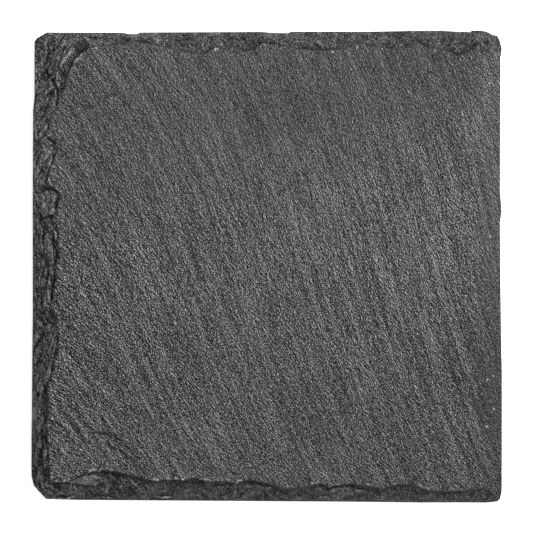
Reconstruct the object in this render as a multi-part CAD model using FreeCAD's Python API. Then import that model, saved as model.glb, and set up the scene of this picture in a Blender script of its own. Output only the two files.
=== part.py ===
"""Square slab of split slate, hand-dressed along its edges, standing on four stick-on rubber pads.

Each node is one physical piece, written to parts/NODE.step: the stone, four rubber pads, and the four
discs of adhesive film that hold the pads to the stone.

Frame: millimetres, +Z up, origin on the table under the middle of the slab. +Y is the back edge.
The stone is laid out by spokes from the middle: each spoke has a foot, a vertical wall, a ledge and a
point on the edge of the cleft face, so the knapped band between wall and face is a run of flat facets.
"""

import FreeCAD
import Part
import math
import os

# Driving dimensions
STONE_THICKNESS = 6.0
PAD_DIAMETER = 10.0
PAD_THICKNESS = 1.5
PAD_EDGE_ROUND = 0.35
PAD_SPACING = 76.0  # centre to centre, both ways
ADHESIVE_DIAMETER = 9.6
ADHESIVE_THICKNESS = 0.2

UNDERSIDE = PAD_THICKNESS + ADHESIVE_THICKNESS
FACE = UNDERSIDE + STONE_THICKNESS

# The foot of the wall is worn back a little all round.
TOE_INSET = 0.45
TOE_RISE = 0.6

# How far the top of the wall lies below the face, by direction from the middle, in degrees.
# The right-hand edge is cut clean, and the other three are knapped almost down to the underside.
WALL_TOP_DROPS = [
    (-180, 4.6), (-139, 4.4), (-130, 4.3), (-90, 4.4), (-50, 4.2), (-46, 2.4), (-43, 1.1),
    (-30, 0.7), (0, 0.6), (35, 0.8), (43, 1.4), (48, 3.4), (60, 3.9), (90, 3.8), (125, 4.0), (180, 4.6),
]

# The ledge across the knapped band: its share of the way in from the wall, and of the way up.
LEDGE_IN, LEDGE_IN_SWING = 0.60, 0.14
LEDGE_UP, LEDGE_UP_SWING = 0.52, 0.13
LEDGE_WAVES_IN, LEDGE_WAVES_UP = 23, 31  # swings of the ledge once round the slab

# Two directions closer than this share one spoke.
LEAST_SPOKE_ANGLE = math.radians(0.12)

# Outer outline, counter-clockwise from the middle of the right-hand edge: near-straight sides with a
# few nicks, and corners that are dubbed off.
OUTLINE = [
    # right
    (49.4, 0.0), (49.35, 9.5), (49.7, 11.6), (49.35, 16.0), (49.45, 44.0),
    # back right corner
    (49.75, 46.1), (49.3, 48.0), (48.8, 48.9), (48.0, 49.0), (46.5, 49.8), (45.4, 50.0),
    # back
    (43.5, 50.0), (43.0, 49.7), (37.5, 49.95), (37.0, 50.1), (36.4, 49.95), (33.0, 50.0), (20.0, 49.8),
    (5.3, 49.8), (4.4, 49.5), (2.2, 49.5), (-1.0, 49.75), (-26.8, 49.65), (-27.4, 49.3), (-29.2, 49.3),
    (-30.4, 49.6),
    # back left corner
    (-46.6, 49.65), (-48.6, 48.5), (-49.2, 47.7),
    # left
    (-49.2, 36.0), (-49.5, 33.0), (-49.6, 15.0), (-49.6, -10.0), (-49.85, -36.0),
    # front left corner
    (-49.85, -44.5), (-49.3, -46.6), (-46.7, -49.3),
    # front
    (-40.0, -49.5), (-10.0, -49.7), (20.0, -49.9), (33.0, -50.05), (46.5, -50.0),
    # front right corner
    (48.9, -49.75), (49.45, -49.1), (49.75, -47.5),
    # right
    (49.75, -22.0), (49.6, -16.0),
]

# Edge of the cleft face, counter-clockwise from the front right corner. Each row is one flake scar:
# the cusp that it starts from, and the point where it stands furthest from a straight line to the
# next cusp.
FLAKE_SCARS = [
    # right: a smooth worn border
    ((46.2, -46.5), (45.3, -33.0)),
    ((46.9, -17.0), (47.0, -4.0)),
    ((46.9, 7.0), (46.2, 24.0)),
    ((45.2, 43.0), (45.3, 45.4)),
    # back: wide shallow scars
    ((44.9, 46.9), (40.9, 44.4)),
    ((38.3, 45.4), (35.8, 45.7)),
    ((31.5, 47.2), (27.2, 45.8)),
    ((20.2, 46.9), (11.8, 45.5)),
    ((-0.8, 47.1), (-4.0, 45.2)),
    ((-7.0, 46.3), (-8.7, 45.6)),
    ((-10.8, 46.1), (-14.5, 44.8)),
    ((-28.5, 47.4), (-31.0, 46.6)),
    # back left corner: one large flake off it
    ((-36.5, 46.3), (-39.9, 44.2)),
    ((-42.2, 39.5), (-43.6, 35.6)),
    # left: the widest band
    ((-46.4, 28.0), (-44.3, 25.6)),
    ((-46.1, 18.1), (-43.7, 15.2)),
    ((-44.6, 11.0), (-43.8, 4.5)),
    ((-45.1, -8.5), (-43.8, -15.6)),
    ((-46.0, -25.2), (-46.1, -36.0)),
    # front: scars that bite in as arcs
    ((-45.4, -45.0), (-43.0, -45.5)),
    ((-40.6, -44.8), (-34.6, -43.0)),
    ((-23.6, -45.3), (-21.0, -44.8)),
    ((-17.6, -45.2), (-15.0, -44.5)),
    ((-12.0, -45.5), (-9.4, -45.2)),
    ((-6.6, -45.6), (-3.2, -45.0)),
    ((5.6, -46.9), (10.6, -45.8)),
    ((13.4, -46.4), (18.8, -45.9)),
    ((24.0, -46.9), (29.5, -45.8)),
    ((34.2, -47.2), (41.0, -47.2)),
]
SCAR_STEP = 2.2  # longest facet along a scar

# A flat-topped block left standing in the left-hand band, and how far its top lies below the face.
BLOCK = [(-48.5, 15.3), (-47.9, 10.4), (-44.4, 10.7), (-43.6, 15.6)]
BLOCK_DROP = 2.1

PAD_CENTRES = {
    "front_left": (-PAD_SPACING / 2, -PAD_SPACING / 2),
    "front_right": (PAD_SPACING / 2, -PAD_SPACING / 2),
    "back_left": (-PAD_SPACING / 2, PAD_SPACING / 2),
    "back_right": (PAD_SPACING / 2, PAD_SPACING / 2),
}


def direction(point):
    return math.atan2(point[1], point[0])


def reach(outline, angle):
    """Distance from the middle to a closed outline, along a direction."""
    c, s = math.cos(angle), math.sin(angle)
    found = []
    for (ax, ay), (bx, by) in zip(outline, outline[1:] + outline[:1]):
        side_a, side_b = ay * c - ax * s, by * c - bx * s
        if (side_a <= 0) == (side_b <= 0):
            continue
        t = side_a / (side_a - side_b)
        out = (ax + (bx - ax) * t) * c + (ay + (by - ay) * t) * s
        if out > 0:
            found.append(out)
    return max(found)


def wall_top_drop(angle):
    """Drop of the top of the wall below the face, read between the listed directions."""
    degrees = math.degrees(angle)
    for (a, drop_a), (b, drop_b) in zip(WALL_TOP_DROPS, WALL_TOP_DROPS[1:]):
        if a <= degrees <= b:
            return drop_a + (drop_b - drop_a) * (degrees - a) / (b - a)
    raise ValueError(f"no drop is listed for {degrees} degrees")


def scar_points(start, furthest, end):
    """One flake scar as a smooth skewed bow: its points from start, up to but not including end."""
    ax, ay = start
    run_x, run_y = end[0] - ax, end[1] - ay
    length = math.hypot(run_x, run_y)
    along = ((furthest[0] - ax) * run_x + (furthest[1] - ay) * run_y) / length
    bow = ((furthest[1] - ay) * run_x - (furthest[0] - ax) * run_y) / length
    peak = along / length
    count = math.ceil(length / SCAR_STEP)
    points = []
    for i in range(count):
        t = i / count
        rise = (t / peak) ** (2 * peak) * ((1 - t) / (1 - peak)) ** (2 * (1 - peak))
        offset = bow * rise
        points.append((ax + run_x * t - run_y / length * offset, ay + run_y * t + run_x / length * offset))
    return points


def face_outline():
    points = []
    for (start, furthest), (end, _) in zip(FLAKE_SCARS, FLAKE_SCARS[1:] + FLAKE_SCARS[:1]):
        points += scar_points(start, furthest, end)
    return points


def spoke_angles(face_edge):
    """One direction for every corner of either outline, less those that nearly coincide."""
    angles = []
    for angle in sorted(direction(p) for p in OUTLINE + face_edge):
        if not angles or angle - angles[-1] > LEAST_SPOKE_ANGLE:
            angles.append(angle)
    return angles


def spoke(angle, face_edge):
    """The five points of one spoke, from the underside up to the edge of the face."""
    wall, face = reach(OUTLINE, angle), reach(face_edge, angle)
    drop = wall_top_drop(angle)
    share_in = LEDGE_IN + LEDGE_IN_SWING * math.sin(LEDGE_WAVES_IN * angle)
    share_up = LEDGE_UP + LEDGE_UP_SWING * math.cos(LEDGE_WAVES_UP * angle)
    profile = [
        (wall - TOE_INSET, UNDERSIDE),
        (wall, UNDERSIDE + TOE_RISE),
        (wall, FACE - drop),
        (wall + (face - wall) * share_in, FACE - drop * (1 - share_up)),
        (face, FACE),
    ]
    return [FreeCAD.Vector(r * math.cos(angle), r * math.sin(angle), z) for r, z in profile]


def flat_face(points):
    return Part.Face(Part.makePolygon(points + points[:1]))


def band(lower, upper, flat):
    """Faces between two closed rows of points: quadrilaterals where they are flat, otherwise triangles."""
    faces = []
    count = len(lower)
    for i in range(count):
        a, b = lower[i], lower[(i + 1) % count]
        c, d = upper[(i + 1) % count], upper[i]
        if flat:
            faces.append(flat_face([a, b, c, d]))
        else:
            faces += [flat_face([a, b, c]), flat_face([a, c, d])]
    return faces


def stone_body():
    """The slab as one closed solid of flat facets."""
    face_edge = face_outline()
    spokes = [spoke(angle, face_edge) for angle in spoke_angles(face_edge)]
    foot, wall_low, wall_high, ledge, brink = (list(row) for row in zip(*spokes))
    faces = [flat_face(foot[::-1]), flat_face(brink)]
    faces += band(foot, wall_low, flat=False)
    faces += band(wall_low, wall_high, flat=True)
    faces += band(wall_high, ledge, flat=False)
    faces += band(ledge, brink, flat=False)
    return Part.Solid(Part.Shell(faces))


def standing_block():
    """The block in the left-hand band, down to below where the band covers it."""
    base = [FreeCAD.Vector(x, y, UNDERSIDE + TOE_RISE) for x, y in BLOCK]
    height = STONE_THICKNESS - TOE_RISE - BLOCK_DROP
    return flat_face(base).extrude(FreeCAD.Vector(0, 0, height))


def slate_slab():
    return stone_body().fuse(standing_block()).removeSplitter()


def disc(centre, diameter, bottom, thickness):
    base = FreeCAD.Vector(centre[0], centre[1], bottom)
    return Part.makeCylinder(diameter / 2, thickness, base)


def rubber_pad(centre):
    """A die-cut disc with its lower rim rounded by wear."""
    pad = disc(centre, PAD_DIAMETER, 0, PAD_THICKNESS)
    rim = [edge for edge in pad.Edges if edge.Closed and edge.CenterOfMass.z < PAD_THICKNESS / 2]
    return pad.makeFillet(PAD_EDGE_ROUND, rim)


def adhesive_disc(centre):
    return disc(centre, ADHESIVE_DIAMETER, PAD_THICKNESS, ADHESIVE_THICKNESS)


def pieces():
    """Every node's solid, by name."""
    made = {"slate_slab": slate_slab()}
    for place, centre in PAD_CENTRES.items():
        made[f"rubber_pad_{place}"] = rubber_pad(centre)
        made[f"adhesive_disc_{place}"] = adhesive_disc(centre)
    return made


def main():
    os.makedirs("parts", exist_ok=True)
    for name, shape in pieces().items():
        if not shape.isValid() or shape.Volume <= 0:
            raise RuntimeError(f"{name} isn't a sound solid")
        shape.exportStep(f"parts/{name}.step")
        box = shape.BoundBox
        print(
            f"{name}: {len(shape.Solids)} solid, {len(shape.Faces)} faces, {shape.Volume / 1000:.2f} cm3, "
            f"x {box.XMin:.2f} to {box.XMax:.2f}, y {box.YMin:.2f} to {box.YMax:.2f}, "
            f"z {box.ZMin:.2f} to {box.ZMax:.2f}"
        )


main()
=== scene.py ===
import math

import bpy
import numpy as np
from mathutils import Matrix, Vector
from mathutils.bvhtree import BVHTree


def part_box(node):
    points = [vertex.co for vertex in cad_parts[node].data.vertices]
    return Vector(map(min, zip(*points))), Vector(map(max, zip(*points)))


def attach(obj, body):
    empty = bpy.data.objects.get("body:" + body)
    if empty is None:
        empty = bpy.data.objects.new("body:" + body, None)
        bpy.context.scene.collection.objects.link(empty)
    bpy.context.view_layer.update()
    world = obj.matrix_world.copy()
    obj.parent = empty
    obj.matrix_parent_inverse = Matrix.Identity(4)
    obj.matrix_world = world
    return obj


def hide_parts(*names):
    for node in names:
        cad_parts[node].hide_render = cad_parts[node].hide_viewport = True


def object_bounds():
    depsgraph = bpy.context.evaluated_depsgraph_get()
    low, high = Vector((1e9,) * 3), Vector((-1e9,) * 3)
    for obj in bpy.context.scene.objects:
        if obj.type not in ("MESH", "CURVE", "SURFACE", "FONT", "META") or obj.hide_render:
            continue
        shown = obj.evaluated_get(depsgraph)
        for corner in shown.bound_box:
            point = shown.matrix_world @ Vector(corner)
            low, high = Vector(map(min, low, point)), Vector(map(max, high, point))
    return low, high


# A square of split slate with knapped edges, on four stick-on rubber pads, seen from straight above.
#
# The stone is one closed mesh built around the CAD stone: its outline, the height of its wall and the
# edge of its cleft face are all read from the CAD mesh. Shapes are worked out in millimetres, and
# turned into metres where a mesh is made.

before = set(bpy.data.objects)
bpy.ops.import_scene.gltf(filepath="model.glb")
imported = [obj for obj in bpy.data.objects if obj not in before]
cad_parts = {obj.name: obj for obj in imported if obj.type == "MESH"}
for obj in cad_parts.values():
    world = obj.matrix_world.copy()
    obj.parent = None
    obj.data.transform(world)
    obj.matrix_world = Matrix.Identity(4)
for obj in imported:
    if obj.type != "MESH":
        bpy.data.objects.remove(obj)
cad_low, cad_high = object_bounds()

MM = 0.001
STONE = "slate_slab"
PLACES = ("front_left", "front_right", "back_left", "back_right")

stone_low, stone_high = (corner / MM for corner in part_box(STONE))
UNDERSIDE = stone_low.z
FACE = stone_high.z
HALF_SIDE = (stone_high.x - stone_low.x) / 2

# Grid of the upper surface: square cells, quartered in the broken band, along the rim and near cracks
CELLS = 204
QUARTERED_INSIDE = 0.9  # how far inside the face's edge the small cells reach
QUARTERED_BESIDE = 0.4  # and how far either side of a crack

# A side is knapped where its wall's top lies this far below the face: just begun, and wholly
KNAPPED_DROP = (1.3, 2.6)
RIPPLE = 1.15  # from one ripple round a blow to the next
NOWHERE_NEAR = -1.0  # stands for how far inside an outline a place lies, where the outline isn't near

# Wall
WALL_HEIGHT = UNDERSIDE + 1.0  # a height at which the CAD wall stands upright all round
TOE_RISE = 0.6
TOE_INSET = 0.45
WALL_LEVELS = 9


# -------- noise


def smoothstep(low, high, x):
    t = np.clip((x - low) / (high - low), 0, 1)
    return t * t * (3 - 2 * t)


def mix(a, b, share):
    return a + (b - a) * share


def corner_direction(ix, iy, seed):
    """A direction for each corner of a whole-number grid, the same one every time."""
    mixed = (ix * 73856093) ^ (iy * 19349663) ^ (seed * 83492791)
    mixed = ((mixed ^ (mixed >> 13)) * 1274126177) & 0x7FFFFFFF
    mixed = ((mixed ^ (mixed >> 15)) * 73244475) & 0x7FFFFFFF
    return (mixed % 65521) / 65521 * math.tau


def noise(x, y, seed):
    """Smooth noise, about -1 to 1, with features about one unit across."""
    x, y = np.broadcast_arrays(np.asarray(x, float), np.asarray(y, float))
    left, low = np.floor(x), np.floor(y)
    fx, fy = x - left, y - low
    ix, iy = left.astype(np.int64), low.astype(np.int64)

    def corner(dx, dy):
        direction = corner_direction(ix + dx, iy + dy, seed)
        return np.cos(direction) * (fx - dx) + np.sin(direction) * (fy - dy)

    u, v = (f * f * f * (f * (f * 6 - 15) + 10) for f in (fx, fy))
    return 1.5 * mix(mix(corner(0, 0), corner(1, 0), u), mix(corner(0, 1), corner(1, 1), u), v)


def fractal(x, y, seed, octaves=3, gain=0.5):
    total, size, scale = 0.0, 1.0, 1.0
    for octave in range(octaves):
        total = total + size * noise(x * scale, y * scale, seed + 101 * octave)
        size, scale = size * gain, scale * 2.03
    return total


def cell_points(x, y, seed):
    """The scattered points, one to a unit cell, near each place: squared distance and a level 0 to 1."""
    ix, iy = np.floor(x).astype(np.int64), np.floor(y).astype(np.int64)
    for dx in (-1, 0, 1):
        for dy in (-1, 0, 1):
            turn = corner_direction(ix + dx, iy + dy, seed)
            level = corner_direction(ix + dx, iy + dy, seed + 7) / math.tau
            px, py = ix + dx + 0.5 + 0.42 * np.cos(turn), iy + dy + 0.5 + 0.42 * np.sin(turn * 3 + level)
            yield (x - px) ** 2 + (y - py) ** 2, level


def scoops(x, y, seed):
    """Hollows side by side, about 0 in their middles and 1 on the sharp ridges between them."""
    lowest = np.full(x.shape, np.inf)
    for squared, level in cell_points(x, y, seed):
        lowest = np.minimum(lowest, 1.6 * squared + 0.5 * level)
    return lowest


def chips(x, y, seed):
    """Flakes side by side: a level from 0 to 1, the same all over each, and how far in its rim is."""
    nearest, second = np.full(x.shape, np.inf), np.full(x.shape, np.inf)
    found = np.zeros(x.shape)
    for squared, level in cell_points(x, y, seed):
        closer = squared < nearest
        second = np.where(closer, nearest, np.minimum(second, squared))
        nearest, found = np.where(closer, squared, nearest), np.where(closer, level, found)
    return found, (np.sqrt(second) - np.sqrt(nearest)) / 2


# -------- outlines, read from the CAD stone


def stone_tree():
    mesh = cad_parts[STONE].data
    corners = [v.co / MM for v in mesh.vertices]
    return BVHTree.FromPolygons(corners, [tuple(p.vertices) for p in mesh.polygons])


def wall_reach(tree, direction):
    """Distance from the middle to the CAD wall."""
    outward = Vector((math.cos(direction), math.sin(direction), 0))
    hit = tree.ray_cast(outward * 2 * HALF_SIDE + Vector((0, 0, WALL_HEIGHT)), -outward)[0]
    return math.hypot(hit.x, hit.y)


def wall_top(tree, direction, reach):
    """Height of the top of the CAD wall."""
    just_inside = reach - 0.1
    above = Vector((math.cos(direction) * just_inside, math.sin(direction) * just_inside, FACE + 1))
    return tree.ray_cast(above, Vector((0, 0, -1)))[0].z


def face_edge():
    """The edge of the cleft face, as points in order of direction."""
    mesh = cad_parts[STONE].data
    on_top = [v.co for v in mesh.vertices if v.co.z / MM > FACE - 0.01]
    found = {(round(co.x / MM, 3), round(co.y / MM, 3)) for co in on_top}
    return np.array(sorted(found, key=lambda p: math.atan2(p[1], p[0])))


def distance_to(x, y, line, closed=True):
    """Distance from each point to a line of points."""
    ends = np.roll(line, -1, axis=0) if closed else line[1:]
    starts = line if closed else line[:-1]
    best = np.full(x.shape, np.inf)
    for (ax, ay), (bx, by) in zip(starts, ends):
        run_x, run_y = bx - ax, by - ay
        length_squared = max(run_x**2 + run_y**2, 1e-12)
        t = np.clip(((x - ax) * run_x + (y - ay) * run_y) / length_squared, 0, 1)
        best = np.minimum(best, (x - ax - t * run_x) ** 2 + (y - ay - t * run_y) ** 2)
    return np.sqrt(best)


def bearing(x, y):
    """Direction from the middle, from 0 on the right-hand side once round counter-clockwise."""
    return np.arctan2(y, x) % math.tau


def around(direction, known, values):
    """Values known in some directions, read off in others, all the way round."""
    return np.interp(direction, known, values, period=math.tau)


# -------- grain


def grain(x, y):
    """Along and across the grain, in mm: it runs towards the back left, and fans out at the front."""
    u, v = x / 50, y / 50
    across = 0.83 * u + 0.47 * v + 0.07 * u**2 - 0.12 * v**2 - 0.09 * u**3 + 0.08 * v**3
    along = -0.50 * u + 0.86 * v
    return along * 50, across * 50


def sweep(x, y):
    """Along and across the longer streaks, in mm, which stand a little steeper than the fine grain."""
    u, v = x / 50, y / 50
    across = 0.91 * u + 0.30 * v + 0.07 * u**2 - 0.10 * u * v - 0.03 * v**2 - 0.06 * u**3 + 0.08 * v**3
    along = -0.33 * u + 0.94 * v
    return along * 50, across * 50


# -------- features listed one by one, in mm

# Low steps in the cleft face, each falling away on the left of its line
FRONT_STEP = [(-37.4, -35.2), (-34.8, -35.2), (-32, -35.8), (-30, -37.6), (-27, -40.6)]
FRONT_SECOND_STEP = [(-34.2, -37.4), (-31, -38.8), (-28, -41.4)]
FRONT_LEFT_STEP = [(-42.2, -31.8), (-40.4, -33.8), (-38.4, -37)]
BACK_STEP = [(-39.2, 34), (-38.2, 33.5), (-37, 33.6)]

# How far the face drops at each
RIFFLES = [
    (0.24, FRONT_STEP), (0.16, FRONT_SECOND_STEP), (0.16, FRONT_LEFT_STEP), (0.08, BACK_STEP),
    (0.08, [(-33.6, 36), (-32.8, 35.7), (-31.9, 36.2)]),
]

# Open cracks: half width, depth, and the points they pass through
CRACKS = [
    (0.22, 0.7, [(-46.4, 41.6), (-46.2, 40.4), (-45.3, 39.4), (-44.5, 38.4), (-44.1, 37), (-44.1, 35.4),
                 (-44.4, 34.2)]),
    (0.20, 0.5, [(-42.4, 38.9), (-43, 37.6), (-43.8, 36.2)]),
    (0.16, 0.5, [(-44.6, 26.4), (-44.4, 24.2), (-45, 22.8)]),
    (0.16, 0.5, [(-48.7, 15.2), (-47.5, 15.7), (-46.9, 16.2)]),
    (0.10, 0.3, [(-43.7, 15.3), (-43.9, 13.9), (-44.5, 13), (-44.6, 11)]),
    (0.26, 0.7, [(-47.8, 10.2), (-46.6, 10.3), (-45.2, 10.6)]),
    (0.12, 0.3, [(-47.4, 15), (-46.2, 14)]),
    (0.16, 0.4, [(-48.9, 13), (-48.6, 12.2)]),
    (0.16, 0.4, [(-45.2, 7.4), (-44.9, 5.6), (-44.9, 4.4), (-44.4, 3.2), (-44.2, 1.8)]),
    (0.16, 0.4, [(-44.9, -2.8), (-45.2, -4.4), (-45.3, -6.6), (-45.8, -8.4)]),
    (0.14, 0.4, [(-46.1, -1.2), (-46.3, -3), (-46.5, -4.2)]),
    (0.16, 0.4, [(-44.2, -14.8), (-43.9, -15.6), (-44.4, -17), (-44.9, -19), (-45.4, -21.4),
                 (-45.7, -23.4)]),
    (0.14, 0.3, [(-47.9, -38.4), (-47.6, -40.5), (-47.1, -43.6)]),
    (0.14, 0.3, [(-46.2, -38), (-46, -41), (-45.9, -44.4)]),
    (0.16, 0.5, [(-44.8, -45.9), (-42.6, -45.7), (-40.4, -45.9)]),
    (0.08, 0.2, [(47.9, 48.6), (46.4, 48.4), (44.9, 48)]),
    (0.18, 0.4, [(13, -46.8), (14.4, -46.5), (16.2, -46.2), (18.2, -46.2), (19.4, -46.7)]),
    (0.24, 0.25, [(33.8, 40.6), (34.3, 41), (35, 40.9), (35.6, 40.3)]),
    (0.25, 0.12, FRONT_STEP),
    (0.20, 0.10, FRONT_SECOND_STEP),
    (0.20, 0.10, FRONT_LEFT_STEP),
    (0.20, 0.10, BACK_STEP),
]

# Bruised crests, nearly white: half width, rise, and points
CRESTS = [
    (0.10, 0.3, [(-47.5, 26.6), (-46.6, 27.4), (-45.7, 27.8)]),
    (0.12, 0.3, [(-46.1, 17.9), (-45.3, 17.2), (-44.3, 16.4)]),
    (0.14, 0.3, [(-33.6, -46.1), (-33.7, -47), (-33.9, -47.9)]),
    (0.16, 0.1, [(-42, -49.1), (-41.3, -48.9), (-40.7, -48.9)]),
    (0.10, 0.2, [(-23.6, -48.6), (-22.8, -48.9), (-22, -49.2), (-21.2, -49), (-20.4, -48.7)]),
    (0.12, 0.0, [(-40.9, 41.6), (-40.4, 42.2)]),
    (0.12, 0.0, [(-39.8, 43.8), (-39.3, 44.3)]),
    (0.10, 0.0, [(-38.8, 43.4), (-38.5, 43.6)]),
    (0.10, 0.0, [(-37.5, 45.9), (-36.9, 46)]),
    (0.10, 0.0, [(-36.2, 46), (-35.4, 46.3)]),
    (0.12, 0.0, [(-24.2, -45), (-23.6, -45.2), (-23.1, -44.9)]),
    (0.14, 0.0, [(-19.4, -44.7), (-18.7, -45)]),
    (0.14, 0.0, [(-13.3, -44.8), (-12.8, -45.1)]),
    (0.12, 0.0, [(-45.1, -27.2), (-44.9, -27.9)]),
    (0.10, 0.0, [(-41.4, -45.6), (-40.5, -45.6)]),
    (0.10, 0.0, [(-37.1, -43), (-36.5, -43)]),
    (0.12, 0.0, [(-35.4, -43.3), (-35, -43.1)]),
]

# Thin seams: tone, dark and sunk below 0, light and proud above; half width; points
SEAMS = [
    (0.7, 0.20, [(-47.5, 9.5), (-47.5, 8), (-47.6, 6.4), (-47.8, 5)]),
    # This light seam is a painted highlight along the rim of the plate beside it
    (0.6, 0.12, [(-46.3, -3.8), (-46.5, -5.2), (-47, -7.4), (-47.3, -9.2)]),
    (0.6, 0.12, [(-48.9, -5.4), (-48.7, -7.6)]),
    (0.6, 0.12, [(-48.2, -5.4), (-47.9, -7.6)]),
    (0.6, 0.12, [(-48.8, 3.6), (-48.3, 4.4)]),
    (0.7, 0.14, [(-46.3, -12), (-45.8, -13.6)]),
    (0.6, 0.14, [(-44.9, -12.8), (-44.5, -14.6)]),
    (0.6, 0.14, [(-48.2, -14.2), (-48, -15.6)]),
    (0.6, 0.12, [(-46.6, -17.2), (-46.8, -18.4), (-47, -20), (-47.3, -21.2)]),
    (0.5, 0.12, [(-48.3, 42.6), (-47, 44.3)]),
    (0.5, 0.12, [(-47.6, 41), (-46.4, 42.8)]),
    (0.5, 0.12, [(-48.9, 43.6), (-48, 45.2)]),
    (0.5, 0.12, [(-47.4, 45), (-46.5, 46.6)]),
    (0.6, 0.14, [(-45, 46.8), (-44.2, 48)]),
    (0.6, 0.12, [(-45, 49.2), (-44.4, 48.6), (-43.5, 48.6), (-42.6, 48.9)]),
    (-0.9, 0.20, [(-45.1, 47.8), (-44.9, 46), (-45.6, 43.6), (-46.3, 41.6)]),
    (-0.7, 0.22, [(-39.4, -46.2), (-38.2, -46.8), (-36.8, -48.3), (-34, -48.7)]),
    (-0.7, 0.25, [(0, -46.2), (2.2, -46.9), (4.2, -48), (5, -49)]),
    (-0.7, 0.20, [(19.4, -46.8), (21.6, -47.3), (23.6, -47)]),
    (0.5, 0.28, [(-17.2, -47.9), (-16.6, -47.3), (-15, -47)]),
    (0.5, 0.12, [(-12, -48.2), (-11.2, -47.3), (-10.6, -47)]),
    (0.5, 0.12, [(-31.4, -45.6), (-30.2, -44.9), (-29.6, -45.4)]),
    (0.4, 0.12, [(-16, 47.6), (-13, 46.4), (-8.6, 46.2), (-5.4, 47.4)]),
    (0.4, 0.12, [(-23, 47), (-20.5, 48.2), (-18.5, 48.8)]),
    (0.4, 0.12, [(2, 46.6), (6, 47.6), (10, 47.4), (13, 46.6)]),
    (0.4, 0.12, [(12, 46.8), (16.5, 46), (21, 47.2)]),
    (0.6, 0.12, [(36.9, 48.8), (36.2, 47.1)]),
    (0.6, 0.12, [(38.3, 48.2), (37.2, 46.4)]),
    (0.6, 0.12, [(40, 47.8), (38.6, 46.1)]),
    (0.6, 0.12, [(41.1, 46.8), (39.6, 45.3)]),
    (0.6, 0.12, [(34.5, 48.3), (33, 47.4)]),
    (-0.7, 0.12, [(37.7, 48.6), (36.8, 46.6)]),
    (-0.7, 0.12, [(39.3, 48), (38, 46.2)]),
    (-0.7, 0.12, [(41.2, 47.6), (39.8, 45.9)]),
    (-0.6, 0.16, [(-2, 47.4), (2.4, 46.4), (7.4, 46), (12.4, 45.8)]),
]

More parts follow.
